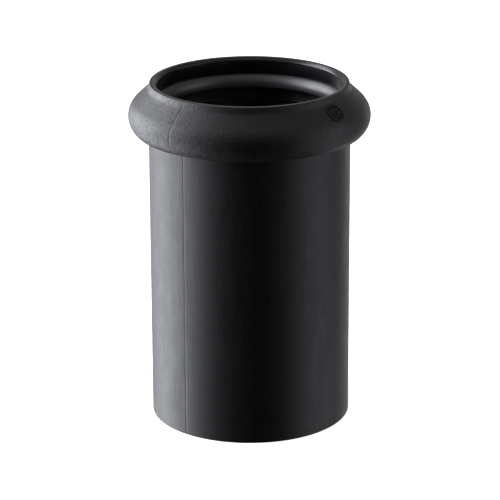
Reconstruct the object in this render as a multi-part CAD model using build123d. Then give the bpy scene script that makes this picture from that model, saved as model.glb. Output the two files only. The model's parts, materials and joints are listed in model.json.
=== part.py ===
from build123d import *
import os
from math import acos, atan2, cos, degrees, hypot, radians, sin

# Push fit coupling for drain pipe. Millimetres, +Z up, origin at the centre of the plain lower end.
# One moulding makes the tube, the hollow bead and the mouth; a lip seal sits in the bead's groove.

# Driving dimensions
PIPE_RADIUS = 55.0            # outside radius of the pipe that the mouth takes
PIPE_CLEARANCE = 0.6          # radial play of the pipe in the bore
WALL = 5.4                    # wall of the tube
BEAD_WALL = 5.0               # wall of the bead
HEIGHT = 210.0                # rim to plain end
BEAD_RADIUS = 73.2            # outside of the bead at its widest
BEAD_ROUND = 12.8             # radius of the bead's round section
BEAD_CENTRE_DROP = 20.5       # rim down to the bead's widest circle
BEAD_FOOT_DROP = 30.5         # rim down to the bead's flat underside
BEAD_FOOT_FILLET = 1.8        # round of the underside's outer corner
NECK_TOP_RADIUS = 60.0        # outside of the mouth at the rim
NECK_BASE_RADIUS = 61.2       # outside of the mouth where the bead starts
NECK_DROP = 3.8               # rim down to the start of the bead
NECK_FILLET = 2.0
RIM_FLAT_INNER_RADIUS = 57.4  # where the lead-in chamfer starts
LEAD_IN_DROP = 1.7            # depth of the lead-in chamfer
RIM_EDGE_ROUND = 0.5
END_EDGE_ROUND = 0.6
GROOVE_ROOF_DROP = 9.9        # rim down to the top of the seal groove

BORE_RADIUS = PIPE_RADIUS + PIPE_CLEARANCE
BODY_RADIUS = BORE_RADIUS + WALL
BEAD_CENTRE_RADIUS = BEAD_RADIUS - BEAD_ROUND
GROOVE_ROUND = BEAD_ROUND - BEAD_WALL
GROOVE_FLOOR_DROP = BEAD_FOOT_DROP - BEAD_WALL

# Lip seal
SEAL_PLAY = 0.15              # gap between the seal's curved back and the groove
SEAL_THROAT_RADIUS = 57.6     # inner face of the seal's anchor ring
SEAL_SHOULDER_RADIUS = 58.6   # where the lip leaves the groove's roof
LIP_RADIUS = 51.9             # smallest opening of the relaxed lip
LIP_BEND_DROP = 17.0          # rim down to where the curved lip points straight down
LIP_TIP_DROP = 18.6           # rim down to the lip's lower edge
LIP_THICKNESS = 2.2
LIP_EDGE_ROUND = 1.0

LIP_REACH = SEAL_SHOULDER_RADIUS - LIP_RADIUS
LIP_BEND = (LIP_REACH**2 + (LIP_BEND_DROP - GROOVE_ROOF_DROP)**2) / (2 * LIP_REACH)
LIP_BEND_CENTRE_RADIUS = LIP_RADIUS + LIP_BEND


def at(radius, drop):
    """A point of the half section, given as a radius and a drop below the rim."""
    return (radius, HEIGHT - drop)


def bead_tangent(start, ring):
    """Angle on the bead's round of the given radius where a line from start touches it."""
    rise = BEAD_CENTRE_DROP - start[1]
    run = start[0] - BEAD_CENTRE_RADIUS
    return degrees(atan2(rise, run) - acos(ring / hypot(rise, run)))


def on_round(ring, angle):
    """A point on the bead's round, as a radius and a drop."""
    radius = BEAD_CENTRE_RADIUS + ring * cos(radians(angle))
    return (radius, BEAD_CENTRE_DROP - ring * sin(radians(angle)))


def round_angle(ring, drop):
    """Angle on the lower half of the bead's round at a drop below the rim."""
    below = drop - BEAD_CENTRE_DROP
    return -degrees(atan2(below, (ring**2 - below**2) ** 0.5))


def bead_arc(ring, start_angle, end_angle):
    """An arc of the bead's round."""
    middle = (start_angle + end_angle) / 2
    return ThreePointArc(*(at(*on_round(ring, a)) for a in (start_angle, middle, end_angle)))


def lip_arc(ring, start_radius, end_radius):
    """An arc of the lip's bend between two radii, on a ring about the bend's centre."""
    start, end = (acos((radius - LIP_BEND_CENTRE_RADIUS) / ring) for radius in (start_radius, end_radius))
    points = []
    for angle in (start, (start + end) / 2, end):
        points.append(at(LIP_BEND_CENTRE_RADIUS + ring * cos(angle), LIP_BEND_DROP - ring * sin(angle)))
    return ThreePointArc(*points)


def ring_edges(solid, radius, drop):
    """The circular edges of a turned solid at a radius and a drop below the rim."""
    found = []
    for edge in solid.edges().filter_by(GeomType.CIRCLE):
        same_height = abs(edge.arc_center.Z - (HEIGHT - drop)) < 0.01
        if same_height and abs(edge.radius - radius) < 0.01:
            found.append(edge)
    return found


def turned(lines):
    """Revolve a closed half section about the Z axis."""
    section = Plane.XZ * make_face(lines)
    return revolve(section, Axis.Z)


def socket_body():
    """Tube, hollow bead and mouth in one moulding."""
    neck_base = (NECK_BASE_RADIUS, NECK_DROP)
    outer_touch = bead_tangent(neck_base, BEAD_ROUND)
    outer_foot = round_angle(BEAD_ROUND, BEAD_FOOT_DROP)
    # The groove's slope runs parallel to the bead's slope, one wall inside it.
    slope_start = on_round(GROOVE_ROUND, outer_touch)
    run_per_drop = sin(radians(outer_touch)) / cos(radians(outer_touch))
    roof_radius = slope_start[0] - (slope_start[1] - GROOVE_ROOF_DROP) * run_per_drop
    inner_foot = round_angle(GROOVE_ROUND, GROOVE_FLOOR_DROP)
    outside = [
        Line(at(RIM_FLAT_INNER_RADIUS, 0), at(NECK_TOP_RADIUS, 0)),
        Line(at(NECK_TOP_RADIUS, 0), at(*neck_base)),
        Line(at(*neck_base), at(*on_round(BEAD_ROUND, outer_touch))),
        bead_arc(BEAD_ROUND, outer_touch, outer_foot),
        Line(at(*on_round(BEAD_ROUND, outer_foot)), at(BODY_RADIUS, BEAD_FOOT_DROP)),
        Line(at(BODY_RADIUS, BEAD_FOOT_DROP), at(BODY_RADIUS, HEIGHT)),
    ]
    inside = [
        Line(at(BODY_RADIUS, HEIGHT), at(BORE_RADIUS, HEIGHT)),
        Line(at(BORE_RADIUS, HEIGHT), at(BORE_RADIUS, GROOVE_FLOOR_DROP)),
        Line(at(BORE_RADIUS, GROOVE_FLOOR_DROP), at(*on_round(GROOVE_ROUND, inner_foot))),
        bead_arc(GROOVE_ROUND, inner_foot, outer_touch),
        Line(at(*slope_start), at(roof_radius, GROOVE_ROOF_DROP)),
        Line(at(roof_radius, GROOVE_ROOF_DROP), at(BORE_RADIUS, GROOVE_ROOF_DROP)),
        Line(at(BORE_RADIUS, GROOVE_ROOF_DROP), at(BORE_RADIUS, LEAD_IN_DROP)),
        Line(at(BORE_RADIUS, LEAD_IN_DROP), at(RIM_FLAT_INNER_RADIUS, 0)),
    ]
    body = turned(outside + inside)
    foot_radius = on_round(BEAD_ROUND, outer_foot)[0]
    body = fillet(ring_edges(body, NECK_TOP_RADIUS, 0), RIM_EDGE_ROUND)
    body = fillet(ring_edges(body, NECK_BASE_RADIUS, NECK_DROP), NECK_FILLET)
    body = fillet(ring_edges(body, foot_radius, BEAD_FOOT_DROP), BEAD_FOOT_FILLET)
    ends = ring_edges(body, BODY_RADIUS, HEIGHT) + ring_edges(body, BORE_RADIUS, HEIGHT)
    return fillet(ends, END_EDGE_ROUND)


def lip_seal():
    """Elastomer ring: an anchor held in the groove and a lip that curves in and down."""
    back_round = GROOVE_ROUND - SEAL_PLAY
    outer_touch = bead_tangent((NECK_BASE_RADIUS, NECK_DROP), BEAD_ROUND)
    slope_start = on_round(back_round, outer_touch)
    run_per_drop = sin(radians(outer_touch)) / cos(radians(outer_touch))
    top_radius = slope_start[0] - (slope_start[1] - GROOVE_ROOF_DROP) * run_per_drop
    foot = round_angle(back_round, GROOVE_FLOOR_DROP)
    under_bend = LIP_BEND - LIP_THICKNESS
    under_radius = LIP_RADIUS + LIP_THICKNESS
    lip_top = lip_arc(LIP_BEND, LIP_RADIUS, SEAL_SHOULDER_RADIUS)
    throat_arc = lip_arc(under_bend, SEAL_THROAT_RADIUS, under_radius)
    lines = [
        Line(lip_top @ 1, at(top_radius, GROOVE_ROOF_DROP)),
        Line(at(top_radius, GROOVE_ROOF_DROP), at(*slope_start)),
        bead_arc(back_round, outer_touch, foot),
        Line(at(*on_round(back_round, foot)), at(SEAL_THROAT_RADIUS, GROOVE_FLOOR_DROP)),
        Line(at(SEAL_THROAT_RADIUS, GROOVE_FLOOR_DROP), throat_arc @ 0),
        throat_arc,
        Line(throat_arc @ 1, at(under_radius, LIP_TIP_DROP)),
        Line(at(under_radius, LIP_TIP_DROP), at(LIP_RADIUS, LIP_TIP_DROP)),
        Line(at(LIP_RADIUS, LIP_TIP_DROP), lip_top @ 0),
        lip_top,
    ]
    seal = turned(lines)
    tip = ring_edges(seal, LIP_RADIUS, LIP_TIP_DROP) + ring_edges(seal, under_radius, LIP_TIP_DROP)
    return fillet(tip, LIP_EDGE_ROUND)


NODES = {"socket_body": socket_body, "lip_seal": lip_seal}

os.makedirs("parts", exist_ok=True)
for node, make in NODES.items():
    export_step(make(), f"parts/{node}.step")
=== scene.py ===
"""Push fit coupling: a black polyethylene socket with a rounded seal bead and a lip seal in its mouth.

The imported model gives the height, the bores and the tube; the pieces here are turned to those sizes.
"""

import json
import math

import bmesh
import bpy
from mathutils import Matrix, Vector


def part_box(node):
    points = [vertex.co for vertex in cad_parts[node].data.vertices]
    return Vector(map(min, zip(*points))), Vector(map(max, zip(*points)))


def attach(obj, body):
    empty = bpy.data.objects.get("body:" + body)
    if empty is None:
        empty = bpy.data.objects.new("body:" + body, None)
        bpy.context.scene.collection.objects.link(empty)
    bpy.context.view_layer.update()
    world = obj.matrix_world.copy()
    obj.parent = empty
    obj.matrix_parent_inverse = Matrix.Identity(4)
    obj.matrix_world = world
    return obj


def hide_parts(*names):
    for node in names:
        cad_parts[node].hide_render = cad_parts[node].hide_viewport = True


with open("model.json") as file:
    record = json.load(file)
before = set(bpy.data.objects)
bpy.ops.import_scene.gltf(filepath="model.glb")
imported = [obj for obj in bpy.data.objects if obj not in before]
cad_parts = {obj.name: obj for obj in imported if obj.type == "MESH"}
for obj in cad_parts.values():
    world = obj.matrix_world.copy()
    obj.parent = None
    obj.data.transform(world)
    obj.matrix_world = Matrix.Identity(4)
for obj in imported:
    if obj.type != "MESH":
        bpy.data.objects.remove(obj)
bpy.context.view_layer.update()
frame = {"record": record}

bl_info = {
    "name": "Push Fit Coupling",
    "version": (1, 0, 0),
    "blender": (4, 5, 0),
    "location": "3D View > Sidebar > Coupling",
    "description": "Turns the socket body, mould marks and lip seal of a push fit coupling",
    "category": "Mesh",
}

MM = 0.001
MOUNTS = {mount["name"]: mount for mount in frame["record"]["mounts"]}
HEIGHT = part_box("socket_body")[1].z
BEAD_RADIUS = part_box("socket_body")[1].x
BORE_RADIUS = MOUNTS["mouth_bore"]["dims"]["r_mm"] * MM
TUBE_RADIUS = MOUNTS["plain_end_outside"]["dims"]["r_mm"] * MM
MERIDIANS = 360
FLOOR_RADIUS = 6.0
MERGE_DISTANCE = 0.002 * MM
ON_PLANE = 1e-7
SHARP_CORNER = math.radians(32)

# Offsets of the bevels on the half sections' corners.
RIM_INNER_BEVEL = 0.25 * MM
RIM_OUTER_BEVEL = 0.5 * MM
NECK_BEVEL = 1.2 * MM
BEAD_FOOT_BEVEL = 1.0 * MM
TUBE_TOP_BEVEL = 0.25 * MM
END_BEVEL = 0.6 * MM
GROOVE_FLOOR_BEVEL = 0.4 * MM
BORE_EDGE_BEVEL = 0.3 * MM
LIP_TIP_BEVEL = 1.0 * MM
SEAL_FLOOR_BEVEL = 0.4 * MM

# Parting line: how far it stays below the rim, how near a point is to count as on it, and how far inside
# the tube's outside it still reaches, round the end's edge.
SEAM_BELOW_RIM = 0.3 * MM
SEAM_REACH = 0.01 * MM
SEAM_AROUND_EDGE = 0.7 * MM

# Soft boxes: name, degrees from the front, reach, width, low and high edge in metres, which radiance of the
# stage they take, and the share of it.
SOFT_BOXES = (
    ("key", -105, 0.9, 1.13, -0.8, 1.25, "key", 1.0),
    ("strip", -110, 0.85, 0.9, 0.05, 0.5, "key", 0.7),
    ("low_strip", -112, 0.85, 0.9, -0.8, -0.35, "key", 0.08),
    ("fill", 82, 1.1, 0.9, -0.9, 1.0, "fill", 1.0),
    ("edge", 150, 1.2, 0.5, -1.2, 0.3, "edge", 1.0),
    ("table", 110, 1.0, 1.2, -1.4, -0.5, "table", 1.0),
)


def length(name, description, millimetres):
    """A size that a user would change, with its default in millimetres."""
    return bpy.props.FloatProperty(name=name, description=description, default=millimetres * MM,
                                   unit="LENGTH", precision=5)


def tint(name, description, colour):
    """A colour that a user would change."""
    return bpy.props.FloatVectorProperty(name=name, description=description, default=colour,
                                         subtype="COLOR", size=3, min=0.0, max=1.0)


def share(name, description, amount):
    """A share from 0 to 1."""
    return bpy.props.FloatProperty(name=name, description=description, default=amount,
                                   subtype="FACTOR", min=0.0, max=1.0)


class CouplingSizes(bpy.types.PropertyGroup):
    """Sizes of the turned pieces. A drop is measured down from the rim."""

    bead_round: length("Bead Round", "Radius of the bead's round section", 12.8)
    bead_drop: length("Bead Drop", "Rim down to the bead's widest circle", 20.5)
    bead_foot: length("Bead Foot", "Rim down to the bead's flat underside", 30.5)
    bead_wall: length("Bead Wall", "Wall of the hollow bead", 5.0)
    neck_top: length("Neck Top", "Outside radius of the mouth at the rim", 60.0)
    neck_base: length("Neck Base", "Outside radius of the mouth where the bead starts", 61.2)
    neck_drop: length("Neck Drop", "Rim down to the start of the bead", 3.8)
    rim_inner: length("Rim Inner", "Radius where the lead-in round starts", 57.4)
    lead_in: length("Lead-in", "Depth of the lead-in round", 1.7)
    groove_roof: length("Groove Roof", "Rim down to the top of the seal groove", 9.9)
    seam_width: length("Seam Width", "Width of the mould parting line", 0.16)
    seam_depth: length("Seam Depth", "Depth of the mould parting line", 0.035)
    seam_turn: bpy.props.FloatProperty(name="Seam Turn", description="Parting line's angle from the front",
                                       default=math.radians(-40), subtype="ANGLE")
    dial_turn: bpy.props.FloatProperty(name="Dial Turn", description="Moulded dial's angle from the front",
                                       default=math.radians(49.5), subtype="ANGLE")
    dial_radius: length("Dial Radius", "Outside radius of the moulded dial", 6.0)
    dial_climb: length("Dial Climb", "Dial's centre, measured along the bead from the neck", 6.6)
    dial_proud: length("Dial Proud", "How far the dial's marks stand off the bead", 0.55)
    dial_sunk: length("Dial Sunk", "How far the dial's marks reach into the bead", 0.3)
    lip_opening: length("Lip Opening", "Radius of the relaxed lip's opening", 51.9)
    lip_bend_drop: length("Lip Bend", "Rim down to where the curved lip points straight down", 17.0)
    lip_tip: length("Lip Tip", "Rim down to the lip's lower edge", 18.6)
    lip_thickness: length("Lip Thickness", "Thickness of the lip", 2.2)
    shoulder: length("Shoulder", "Radius where the lip leaves the groove's roof", 58.6)
    throat: length("Throat", "Radius of the seal's inside below the lip", 57.6)
    seal_play: length("Seal Play", "Gap between the seal's back and its groove", 0.15)


class CouplingFinish(bpy.types.PropertyGroup):
    """Colours and textures of the two materials."""

    black: tint("Black", "Colour of the polyethylene", (0.004, 0.004, 0.0046))
    black_rough: share("Roughness", "Roughness of the polyethylene", 0.53)
    core_rough: share("Core Roughness", "Roughness of the inside, left by the mould's core", 0.27)
    relief: length("Relief", "Depth of the mottling", 0.045)
    mottle: length("Mottle Size", "Size of the mottling on the moulded surface", 1.3)
    grain: length("Grain Size", "Size of the finest grain on the moulded surface", 0.35)
    rubber: tint("Rubber", "Colour of the lip seal", (0.028, 0.0285, 0.031))
    rubber_rough: share("Rubber Roughness", "Roughness of the lip seal", 0.42)
    ring_pitch: length("Ring Pitch", "Pitch of the fine rings on the lip seal", 0.55)
    ring_relief: length("Ring Relief", "Depth of the rings and the dust on the lip seal", 0.03)
    bloom_size: length("Bloom Size", "Size of the pale clouds on the lip seal", 7.0)
    dust_size: length("Dust Size", "Size of the dust on the lip seal", 0.4)


class CouplingStage(bpy.types.PropertyGroup):
    """Camera and studio."""

    distance: length("Distance", "Camera's distance in front of the axis", 1500)
    rise: length("Rise", "Camera's height above the rim", 403.3)
    lens: bpy.props.FloatProperty(name="Lens", description="Focal length in millimetres", default=185.9)
    pitch: bpy.props.FloatProperty(name="Pitch", description="Camera's tilt down", subtype="ANGLE",
                                   default=math.radians(18.8))
    roll: bpy.props.FloatProperty(name="Roll", description="Camera's turn about its own axis",
                                  subtype="ANGLE", default=math.radians(-0.24))
    key: bpy.props.FloatProperty(name="Key", description="Radiance of the left soft box", default=5.6)
    fill: bpy.props.FloatProperty(name="Fill", description="Radiance of the right soft box", default=1.15)
    edge: bpy.props.FloatProperty(name="Edge", description="Radiance of the narrow box behind", default=0.9)
    table: bpy.props.FloatProperty(name="Table", description="Radiance of the table mirrored at the right",
                                   default=0.45)
    dome: bpy.props.FloatProperty(name="Dome", description="Radiance of the studio above", default=0.36)
    backdrop: bpy.props.FloatProperty(name="Backdrop", description="Radiance of the wall behind",
                                      default=0.4)


def settings():
    """The scene's three groups of settings."""
    scene = bpy.context.scene
    return scene.coupling_sizes, scene.coupling_finish, scene.coupling_stage


# ---------------------------------------------------------------- shaders


class Value:
    """A number socket of a material or of the world. Arithmetic on it adds Math nodes."""

    def __init__(self, graph, socket):
        self.graph = graph
        self.socket = socket

    def math(self, operation, *others):
        inputs = dict(enumerate(others))
        return self.graph.node("ShaderNodeMath", {"operation": operation}, inputs)

    def __add__(self, other):
        return self.math("ADD", self, other)

    def __sub__(self, other):
        return self.math("SUBTRACT", self, other)

    def __rsub__(self, other):
        return self.math("SUBTRACT", other, self)

    def __mul__(self, other):
        return self.math("MULTIPLY", self, other)

    __radd__ = __add__
    __rmul__ = __mul__

    def sine(self):
        return self.math("SINE", self)


class Graph:
    """The nodes of a material or of the world, and the shader node that they feed."""

    def __init__(self, owner, shader="Principled BSDF"):
        owner.use_nodes = True
        self.owner = owner
        self.tree = owner.node_tree
        self.shader = self.tree.nodes[shader]

    def node(self, kind, options=None, inputs=None, output=0):
        """Add a node: its options first, then its sockets' values or links. Returns an output."""
        node = self.tree.nodes.new(kind)
        for name, value in (options or {}).items():
            setattr(node, name, value)
        for key, value in (inputs or {}).items():
            self.feed(node.inputs[key], value)
        return Value(self, node.outputs[output])

    def feed(self, socket, value):
        """Link a socket, or set its value."""
        if isinstance(value, Value):
            self.tree.links.new(value.socket, socket)
        else:
            socket.default_value = value

    def place(self, stretch=(1, 1, 1)):
        """Object coordinates, stretched."""
        coordinates = self.node("ShaderNodeTexCoord", output="Object")
        return self.node("ShaderNodeMapping", inputs={"Vector": coordinates, "Scale": stretch})

    def noise(self, vector, size, detail=2.0, roughness=0.5):
        """Noise from about 0 to 1 with features of a given size."""
        inputs = {"Vector": vector, "Scale": 1 / size, "Detail": detail, "Roughness": roughness}
        return self.node("ShaderNodeTexNoise", {"normalize": True}, inputs)

    def radius(self, place):
        """Distance from the Z axis."""
        flat = self.node("ShaderNodeVectorMath", {"operation": "MULTIPLY"}, {0: place, 1: (1, 1, 0)})
        return self.node("ShaderNodeVectorMath", {"operation": "LENGTH"}, {0: flat}, output="Value")

    def height(self, place):
        """Height above the plain end."""
        return self.node("ShaderNodeSeparateXYZ", inputs={"Vector": place}, output="Z")

    def band(self, value, low, high):
        """0 below low, 1 above high, and a straight ramp between."""
        return self.node("ShaderNodeMapRange", inputs={"Value": value, "From Min": low, "From Max": high})

    def blend(self, factor, first, second):
        """Mix two colours. The node's sockets share their names, so they are numbered here."""
        inputs = {0: factor, 6: first, 7: second}
        return self.node("ShaderNodeMix", {"data_type": "RGBA"}, inputs, output=2)

    def bump(self, height, depth):
        """A normal from a height of about 0 to 1 and its depth in metres."""
        return self.node("ShaderNodeBump", inputs={"Height": height, "Distance": depth, "Strength": 1.0})


def polyethylene():
    """Black polyethylene as moulded: mottled and grained outside, smoother where the core left it."""
    if "black_polyethylene" in bpy.data.materials:
        return bpy.data.materials["black_polyethylene"]
    sizes, finish, _ = settings()
    graph = Graph(bpy.data.materials.new("black_polyethylene"))
    place = graph.place()
    mottle = graph.band(graph.noise(place, finish.mottle, detail=3.0, roughness=0.6), 0.2, 0.8)
    grain = graph.band(graph.noise(place, finish.grain, detail=1.0), 0.3, 0.7)
    cloud = graph.band(graph.noise(place, finish.mottle * 7, detail=3.0), 0.3, 0.7)
    streak = graph.band(graph.noise(graph.place((1, 1, 0.03)), finish.mottle * 0.8), 0.3, 0.7)
    outside = graph.band(graph.radius(place), BORE_RADIUS + 2.8 * MM, BORE_RADIUS + 3.4 * MM)
    black = (*finish.black, 1)
    worn = (*(channel * 2.2 for channel in finish.black), 1)
    pale = mottle * 0.6 + cloud * 0.4
    bead_foot = HEIGHT - sizes.bead_foot
    on_bead = graph.band(graph.height(place), bead_foot - 2 * MM, bead_foot + 2 * MM)
    uneven = (mottle - 0.5) * (on_bead * 0.2 + 0.16) + (cloud - 0.5) * 0.06 + (streak - 0.5) * 0.07
    rough = finish.core_rough + (uneven + (finish.black_rough - finish.core_rough)) * outside
    relief = (mottle * 0.8 + grain * 0.05 + streak * 0.15) * (outside * 0.8 + 0.2) * (on_bead * 2.6 + 1)
    graph.feed(graph.shader.inputs["Base Color"], graph.blend(pale, black, worn))
    graph.feed(graph.shader.inputs["Roughness"], rough)
    graph.feed(graph.shader.inputs["Normal"], graph.bump(relief, finish.relief))
    graph.shader.inputs["IOR"].default_value = 1.5
    return graph.owner


def elastomer():
    """Dark grey rubber with fine moulding rings round the bore."""
    finish = settings()[1]
    graph = Graph(bpy.data.materials.new("seal_rubber"))
    place = graph.place()
    radius = graph.radius(place)
    cloud = graph.noise(place, finish.bloom_size, detail=3.0)
    dust = graph.noise(place, finish.dust_size, detail=2.0)
    rings = (radius * (math.tau / finish.ring_pitch) + cloud * 2.5).sine() * 0.5 + 0.5
    rubber = (*finish.rubber, 1)
    bloom = (*(channel * 2.0 for channel in finish.rubber), 1)
    graph.feed(graph.shader.inputs["Base Color"], graph.blend(cloud * 0.6 + rings * 0.15, rubber, bloom))
    rough = finish.rubber_rough + (cloud - 0.5) * 0.18 + (dust - 0.5) * 0.1
    graph.feed(graph.shader.inputs["Roughness"], rough)
    graph.feed(graph.shader.inputs["Normal"], graph.bump(rings * 0.5 + dust * 0.5, finish.ring_relief))
    graph.shader.inputs["IOR"].default_value = 1.75
    return graph.owner


def lit_table():
    """White table that gives off its own light, so that it stays as pale as the backdrop."""
    graph = Graph(bpy.data.materials.new("lit_table"))
    cloud = graph.noise(graph.place(), 0.4, detail=1.0)
    table = graph.blend(cloud, (0.9, 0.9, 0.9, 1), (0.93, 0.93, 0.93, 1))
    graph.feed(graph.shader.inputs["Base Color"], table)
    graph.shader.inputs["Roughness"].default_value = 0.9
    graph.shader.inputs["Emission Color"].default_value = (1, 1, 1, 1)
    graph.shader.inputs["Emission Strength"].default_value = 0.88
    return graph.owner


# ---------------------------------------------------------------- half sections


def bead_slope(sizes):
    """Angle on the bead's round where its straight upper slope touches it."""
    rise = sizes.bead_drop - sizes.neck_drop
    run = sizes.neck_base - (BEAD_RADIUS - sizes.bead_round)
    return math.atan2(rise, run) - math.acos(sizes.bead_round / math.hypot(rise, run))


def on_round(sizes, ring, angle):
    """A point on a round about the bead's centre, as a radius and a height."""
    radius = BEAD_RADIUS - sizes.bead_round + ring * math.cos(angle)
    return radius, HEIGHT - sizes.bead_drop + ring * math.sin(angle)


def round_points(sizes, ring, start, end, count):
    """Points along a round about the bead's centre, both ends included."""
    angles = [start + (end - start) * i / count for i in range(count + 1)]
    return [on_round(sizes, ring, angle) for angle in angles]


def foot_angle(sizes, ring, drop):
    """Angle on a round, below its middle, at a drop from the rim."""
    return -math.asin((drop - sizes.bead_drop) / ring)


def body_section(sizes):
    """The body's half section in order, as (radius, height, corner bevel, its segments)."""
    slope = bead_slope(sizes)
    groove_ring = sizes.bead_round - sizes.bead_wall
    groove_floor = sizes.bead_foot - sizes.bead_wall
    foot = foot_angle(sizes, sizes.bead_round, sizes.bead_foot)
    bead = round_points(sizes, sizes.bead_round, slope, foot, 34)
    groove = round_points(sizes, groove_ring, foot_angle(sizes, groove_ring, groove_floor), slope, 16)
    start_radius, start_height = groove[-1]
    roof_height = HEIGHT - sizes.groove_roof
    roof_radius = start_radius - (roof_height - start_height) * math.tan(slope)
    foot_height = HEIGHT - sizes.bead_foot
    section = [(sizes.rim_inner, HEIGHT, RIM_INNER_BEVEL, 3), (sizes.neck_top, HEIGHT, RIM_OUTER_BEVEL, 4),
               (sizes.neck_base, HEIGHT - sizes.neck_drop, NECK_BEVEL, 6)]
    section += [(*point, 0, 1) for point in bead[:-1]]
    section += [(*bead[-1], BEAD_FOOT_BEVEL, 6), (TUBE_RADIUS, foot_height, TUBE_TOP_BEVEL, 3)]
    section += [(TUBE_RADIUS, 0, END_BEVEL, 4), (BORE_RADIUS, 0, END_BEVEL, 4)]
    section += [(BORE_RADIUS, HEIGHT - groove_floor, GROOVE_FLOOR_BEVEL, 3)]
    section += [(*point, 0, 1) for point in groove]
    section += [(roof_radius, roof_height, 0, 1), (BORE_RADIUS, roof_height, BORE_EDGE_BEVEL, 3)]
    section += [(BORE_RADIUS, HEIGHT - sizes.lead_in, BORE_EDGE_BEVEL, 3)]
    return section


def lip_points(sizes, inset, start_radius, end_radius, count):
    """Points round the lip's bend between two radii, at an inset from the lip's top face."""
    reach = sizes.shoulder - sizes.lip_opening
    fall = sizes.lip_bend_drop - sizes.groove_roof
    bend = (reach ** 2 + fall ** 2) / (2 * reach)
    centre = sizes.lip_opening + bend
    ring = bend - inset
    start, end = (math.acos(max(-1.0, (radius - centre) / ring)) for radius in (start_radius, end_radius))
    angles = [start + (end - start) * i / count for i in range(count + 1)]
    return [(centre + ring * math.cos(angle), HEIGHT - sizes.lip_bend_drop + ring * math.sin(angle))
            for angle in angles]


def seal_section(sizes):
    """The seal's half section: an anchor in the groove and a lip curving in and down."""
    slope = bead_slope(sizes)
    ring = sizes.bead_round - sizes.bead_wall - sizes.seal_play
    floor_height = HEIGHT - sizes.bead_foot + sizes.bead_wall
    roof_height = HEIGHT - sizes.groove_roof
    tip_height = HEIGHT - sizes.lip_tip
    back = round_points(sizes, ring, slope, foot_angle(sizes, ring, HEIGHT - floor_height), 14)
    top_radius = back[0][0] - (roof_height - back[0][1]) * math.tan(slope)
    under = sizes.lip_opening + sizes.lip_thickness
    below = lip_points(sizes, sizes.lip_thickness, sizes.throat, under, 10)
    above = lip_points(sizes, 0, sizes.lip_opening, sizes.shoulder, 20)
    section = [(top_radius, roof_height, 0, 1)]
    section += [(*point, 0, 1) for point in back]
    section += [(sizes.throat, floor_height, SEAL_FLOOR_BEVEL, 3)]
    section += [(*point, 0, 1) for point in below]
    section += [(under, tip_height, LIP_TIP_BEVEL, 6), (sizes.lip_opening, tip_height, LIP_TIP_BEVEL, 6)]
    section += [(*point, 0, 1) for point in above]
    return section


# ---------------------------------------------------------------- meshes


def turned(section):
    """Round the marked corners of a closed half section, then spin it a full turn about Z."""
    bm = bmesh.new()
    verts = [bm.verts.new((radius, 0, height)) for radius, height, _, _ in section]
    for first, second in zip(verts, verts[1:] + verts[:1]):
        bm.edges.new((first, second))
    corners = [(vert, row[2], row[3]) for vert, row in zip(verts, section) if row[2] > 0]
    for vert, size, segments in corners:
        bmesh.ops.bevel(bm, geom=[vert], offset=size, offset_type="OFFSET", segments=segments,
                        profile=0.5, affect="VERTICES", material=-1)
    bmesh.ops.spin(bm, geom=bm.verts[:] + bm.edges[:], cent=(0, 0, 0), axis=(0, 0, 1),
                   dvec=(0, 0, 0), angle=math.tau, steps=MERIDIANS, use_merge=True)
    bmesh.ops.remove_doubles(bm, verts=bm.verts, dist=MERGE_DISTANCE)
    bmesh.ops.recalc_face_normals(bm, faces=bm.faces)
    return bm


def facing(turn):
    """The outward direction at an angle from the front, positive towards +X."""
    return Vector((math.sin(turn), -math.cos(turn), 0))


def cut_seam(bm, sizes):
    """Press the mould parting line into the outside, along two opposite meridians."""
    along = facing(sizes.seam_turn)
    across = along.cross(Vector((0, 0, 1)))
    for side in (-0.5, 0, 0.5):
        bmesh.ops.bisect_plane(bm, geom=bm.verts[:] + bm.edges[:] + bm.faces[:], dist=ON_PLANE,
                               plane_co=across * side * sizes.seam_width, plane_no=across)
    top = HEIGHT - SEAM_BELOW_RIM
    for vert in bm.verts:
        outward = Vector((vert.co.x, vert.co.y, 0))
        on_seam = abs(vert.co.dot(across)) < SEAM_REACH
        outside = outward.length > TUBE_RADIUS - SEAM_AROUND_EDGE
        faces_out = vert.normal.dot(outward.normalized()) > 0.02
        if on_seam and outside and faces_out and vert.co.z < top:
            vert.co -= vert.normal * sizes.seam_depth


def finish_piece(name, bm, finish, replaced=None):
    """Make the mesh an object, shade it with a finish, and tie it to the frame."""
    for face in bm.faces:
        face.smooth = True
    for edge in bm.edges:
        edge.smooth = edge.calc_face_angle(0) < SHARP_CORNER
    mesh = bpy.data.meshes.new(name)
    bm.to_mesh(mesh)
    bm.free()
    piece = bpy.data.objects.new(name, mesh)
    bpy.context.scene.collection.objects.link(piece)
    mesh.materials.append(finish())
    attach(piece, "root")
    if replaced:
        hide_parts(replaced)
    return piece


# ---------------------------------------------------------------- moulded dial


def bead_point(sizes, turn, climb, proud):
    """A point on the bead's upper side: climb runs down the slope and round, proud stands off it."""
    slope = bead_slope(sizes)
    touch = on_round(sizes, sizes.bead_round, slope)
    base = (sizes.neck_base, HEIGHT - sizes.neck_drop)
    straight = math.dist(base, touch)
    if climb < straight:
        share_down = climb / straight
        radius = base[0] + (touch[0] - base[0]) * share_down + proud * math.cos(slope)
        height = base[1] + (touch[1] - base[1]) * share_down + proud * math.sin(slope)
    else:
        angle = slope - (climb - straight) / sizes.bead_round
        radius, height = on_round(sizes, sizes.bead_round + proud, angle)
    return facing(turn) * radius + Vector((0, 0, height))


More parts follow.
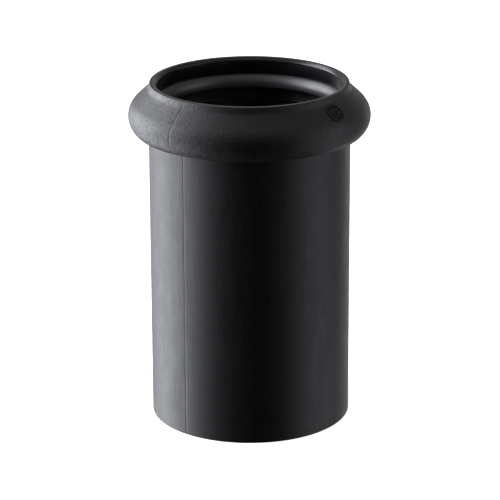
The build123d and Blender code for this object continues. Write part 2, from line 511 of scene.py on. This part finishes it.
def dial_ring(bm, inner, outer, height, segments=48):
    """A flat ring standing on the dial's plane."""
    made = bmesh.ops.create_circle(bm, segments=segments, radius=outer, cap_ends=True)
    face = made["verts"][0].link_faces[0]
    inset = bmesh.ops.inset_individual(bm, faces=[face], thickness=outer - inner, use_even_offset=True)
    ring = inset["faces"]
    bmesh.ops.delete(bm, geom=[face], context="FACES")
    raise_faces(bm, ring, height)


def dial_bar(bm, middle, half, turn, height):
    """A bar on the dial's plane, by its middle, half sizes and turn."""
    made = bmesh.ops.create_grid(bm, x_segments=1, y_segments=4, size=1,
                                 matrix=Matrix.Translation((*middle, 0)) @ Matrix.Rotation(turn, 4, "Z")
                                 @ Matrix.Diagonal((*half, 1, 1)))
    faces = list({face for vert in made["verts"] for face in vert.link_faces})
    raise_faces(bm, faces, height)


def raise_faces(bm, faces, height):
    """Extrude flat faces up by a height, keeping them as the underside."""
    made = bmesh.ops.extrude_face_region(bm, geom=faces, use_keep_orig=True)
    verts = [item for item in made["geom"] if isinstance(item, bmesh.types.BMVert)]
    bmesh.ops.translate(bm, verts=verts, vec=(0, 0, height))


def mould_dial(sizes):
    """A plain dial: two rings, twelve marks and an arrow, laid on the bead's curve."""
    bm = bmesh.new()
    outer = sizes.dial_radius
    height = sizes.dial_proud + sizes.dial_sunk
    dial_ring(bm, outer * 0.93, outer, height)
    dial_ring(bm, outer * 0.36, outer * 0.46, height)
    for mark in range(12):
        angle = math.tau * mark / 12
        middle = (outer * 0.7 * math.cos(angle), outer * 0.7 * math.sin(angle))
        dial_bar(bm, middle, (outer * 0.13, outer * 0.045), angle, height)
    shaft = ((0, 0), (0.06, 0.28), 0.6)
    left_barb = ((-0.16, 0.16), (0.045, 0.13), 1.2)
    right_barb = ((0.09, 0.16), (0.045, 0.13), 0.0)
    for middle, half, turn in (shaft, left_barb, right_barb):
        dial_bar(bm, [part * outer for part in middle], [part * outer for part in half], turn, height)
    ring_radius = BEAD_RADIUS - sizes.bead_round / 3
    for vert in bm.verts:
        turn = sizes.dial_turn + vert.co.x / ring_radius
        vert.co = bead_point(sizes, turn, sizes.dial_climb - vert.co.y, vert.co.z - sizes.dial_sunk)
    bmesh.ops.recalc_face_normals(bm, faces=bm.faces)
    return bm


# ---------------------------------------------------------------- stage


def soft_box(name, turn, reach, width, low, high, radiance, colour=(0.92, 0.945, 1.0)):
    """An upright rectangle of light facing the axis, at an angle from the front."""
    lamp = bpy.data.lights.new(name, "AREA")
    lamp.shape = "RECTANGLE"
    lamp.size = width
    lamp.size_y = high - low
    lamp.energy = radiance * math.pi * lamp.size * lamp.size_y
    lamp.color = colour
    box = bpy.data.objects.new(name, lamp)
    bpy.context.scene.collection.objects.link(box)
    box.location = facing(turn) * reach + Vector((0, 0, (low + high) / 2))
    box.rotation_euler = (math.radians(90), 0, turn)
    box.visible_camera = False
    return box


def studio_world(stage):
    """White where it is seen; what lights the object is only a dim ceiling and the wall behind."""
    world = bpy.data.worlds.new("studio")
    bpy.context.scene.world = world
    graph = Graph(world, "Background")
    place = graph.node("ShaderNodeTexCoord", output="Generated")
    up = graph.node("ShaderNodeSeparateXYZ", inputs={"Vector": place}, output="Z")
    back = graph.node("ShaderNodeSeparateXYZ", inputs={"Vector": place}, output="Y")
    lit = graph.band(up, 0.3, 0.95) * stage.dome + graph.band(back, 0.45, 0.95) * stage.backdrop
    seen = graph.node("ShaderNodeLightPath", output="Is Camera Ray")
    graph.shader.inputs["Color"].default_value = (1, 1, 1, 1)
    graph.feed(graph.shader.inputs["Strength"], seen + (1 - seen) * lit)


def make_floor():
    """A wide pale table under the coupling, which the gloss does not mirror."""
    bm = bmesh.new()
    bmesh.ops.create_circle(bm, segments=96, radius=FLOOR_RADIUS, cap_ends=True)
    mesh = bpy.data.meshes.new("floor")
    bm.to_mesh(mesh)
    bm.free()
    floor = bpy.data.objects.new("floor", mesh)
    bpy.context.scene.collection.objects.link(floor)
    mesh.materials.append(lit_table())
    floor.visible_glossy = False
    floor.visible_diffuse = False
    floor.visible_shadow = False


def make_camera(stage):
    """A long lens in front of the coupling, looking down on its mouth."""
    camera = bpy.data.cameras.new("camera")
    camera.lens = stage.lens
    camera.sensor_width = 36.0
    camera.clip_end = 50.0
    view = bpy.data.objects.new("camera", camera)
    bpy.context.scene.collection.objects.link(view)
    turn = Matrix.Rotation(math.radians(90) - stage.pitch, 4, "X") @ Matrix.Rotation(stage.roll, 4, "Z")
    view.matrix_world = Matrix.Translation((0, -stage.distance, HEIGHT + stage.rise)) @ turn
    bpy.context.scene.camera = view


# ---------------------------------------------------------------- operators


class COUPLING_OT_socket_body(bpy.types.Operator):
    """Turn the socket body and press its mould parting line"""

    bl_idname = "coupling.socket_body"
    bl_label = "Socket Body"

    def execute(self, context):
        sizes = context.scene.coupling_sizes
        bm = turned(body_section(sizes))
        cut_seam(bm, sizes)
        finish_piece("socket_body_moulding", bm, polyethylene, "socket_body")
        return {"FINISHED"}


class COUPLING_OT_mould_dial(bpy.types.Operator):
    """Raise the plain moulded dial on the bead"""

    bl_idname = "coupling.mould_dial"
    bl_label = "Moulded Dial"

    def execute(self, context):
        bm = mould_dial(context.scene.coupling_sizes)
        finish_piece("mould_dial", bm, polyethylene)
        return {"FINISHED"}


class COUPLING_OT_lip_seal(bpy.types.Operator):
    """Turn the lip seal that sits in the bead's groove"""

    bl_idname = "coupling.lip_seal"
    bl_label = "Lip Seal"

    def execute(self, context):
        bm = turned(seal_section(context.scene.coupling_sizes))
        finish_piece("lip_seal_ring", bm, elastomer, "lip_seal")
        return {"FINISHED"}


class COUPLING_OT_stage(bpy.types.Operator):
    """Set the table, the soft boxes and the camera"""

    bl_idname = "coupling.stage"
    bl_label = "Stage"

    def execute(self, context):
        stage = context.scene.coupling_stage
        context.scene.view_settings.view_transform = "Standard"
        studio_world(stage)
        make_floor()
        for name, turn, reach, width, low, high, source, part in SOFT_BOXES:
            soft_box(name, math.radians(turn), reach, width, low, high, getattr(stage, source) * part)
        make_camera(stage)
        return {"FINISHED"}


class COUPLING_PT_panel(bpy.types.Panel):
    """Buttons that build the coupling, and its settings"""

    bl_label = "Push Fit Coupling"
    bl_space_type = "VIEW_3D"
    bl_region_type = "UI"
    bl_category = "Coupling"

    def draw(self, context):
        layout = self.layout
        for operator in OPERATORS:
            layout.operator(operator.bl_idname)
        for group in settings():
            box = layout.box()
            for name in group.__annotations__:
                box.prop(group, name)


GROUPS = {
    "coupling_sizes": CouplingSizes,
    "coupling_finish": CouplingFinish,
    "coupling_stage": CouplingStage,
}
OPERATORS = [COUPLING_OT_socket_body, COUPLING_OT_mould_dial, COUPLING_OT_lip_seal, COUPLING_OT_stage]


def register():
    for cls in (*GROUPS.values(), *OPERATORS, COUPLING_PT_panel):
        bpy.utils.register_class(cls)
    for name, group in GROUPS.items():
        setattr(bpy.types.Scene, name, bpy.props.PointerProperty(type=group))


def unregister():
    for name in GROUPS:
        delattr(bpy.types.Scene, name)
    for cls in (COUPLING_PT_panel, *reversed(OPERATORS), *GROUPS.values()):
        bpy.utils.unregister_class(cls)


def main():
    """Build everything in order."""
    register()
    bpy.ops.coupling.socket_body()
    bpy.ops.coupling.mould_dial()
    bpy.ops.coupling.lip_seal()
    bpy.ops.coupling.stage()


if __name__ == "__main__":
    main()
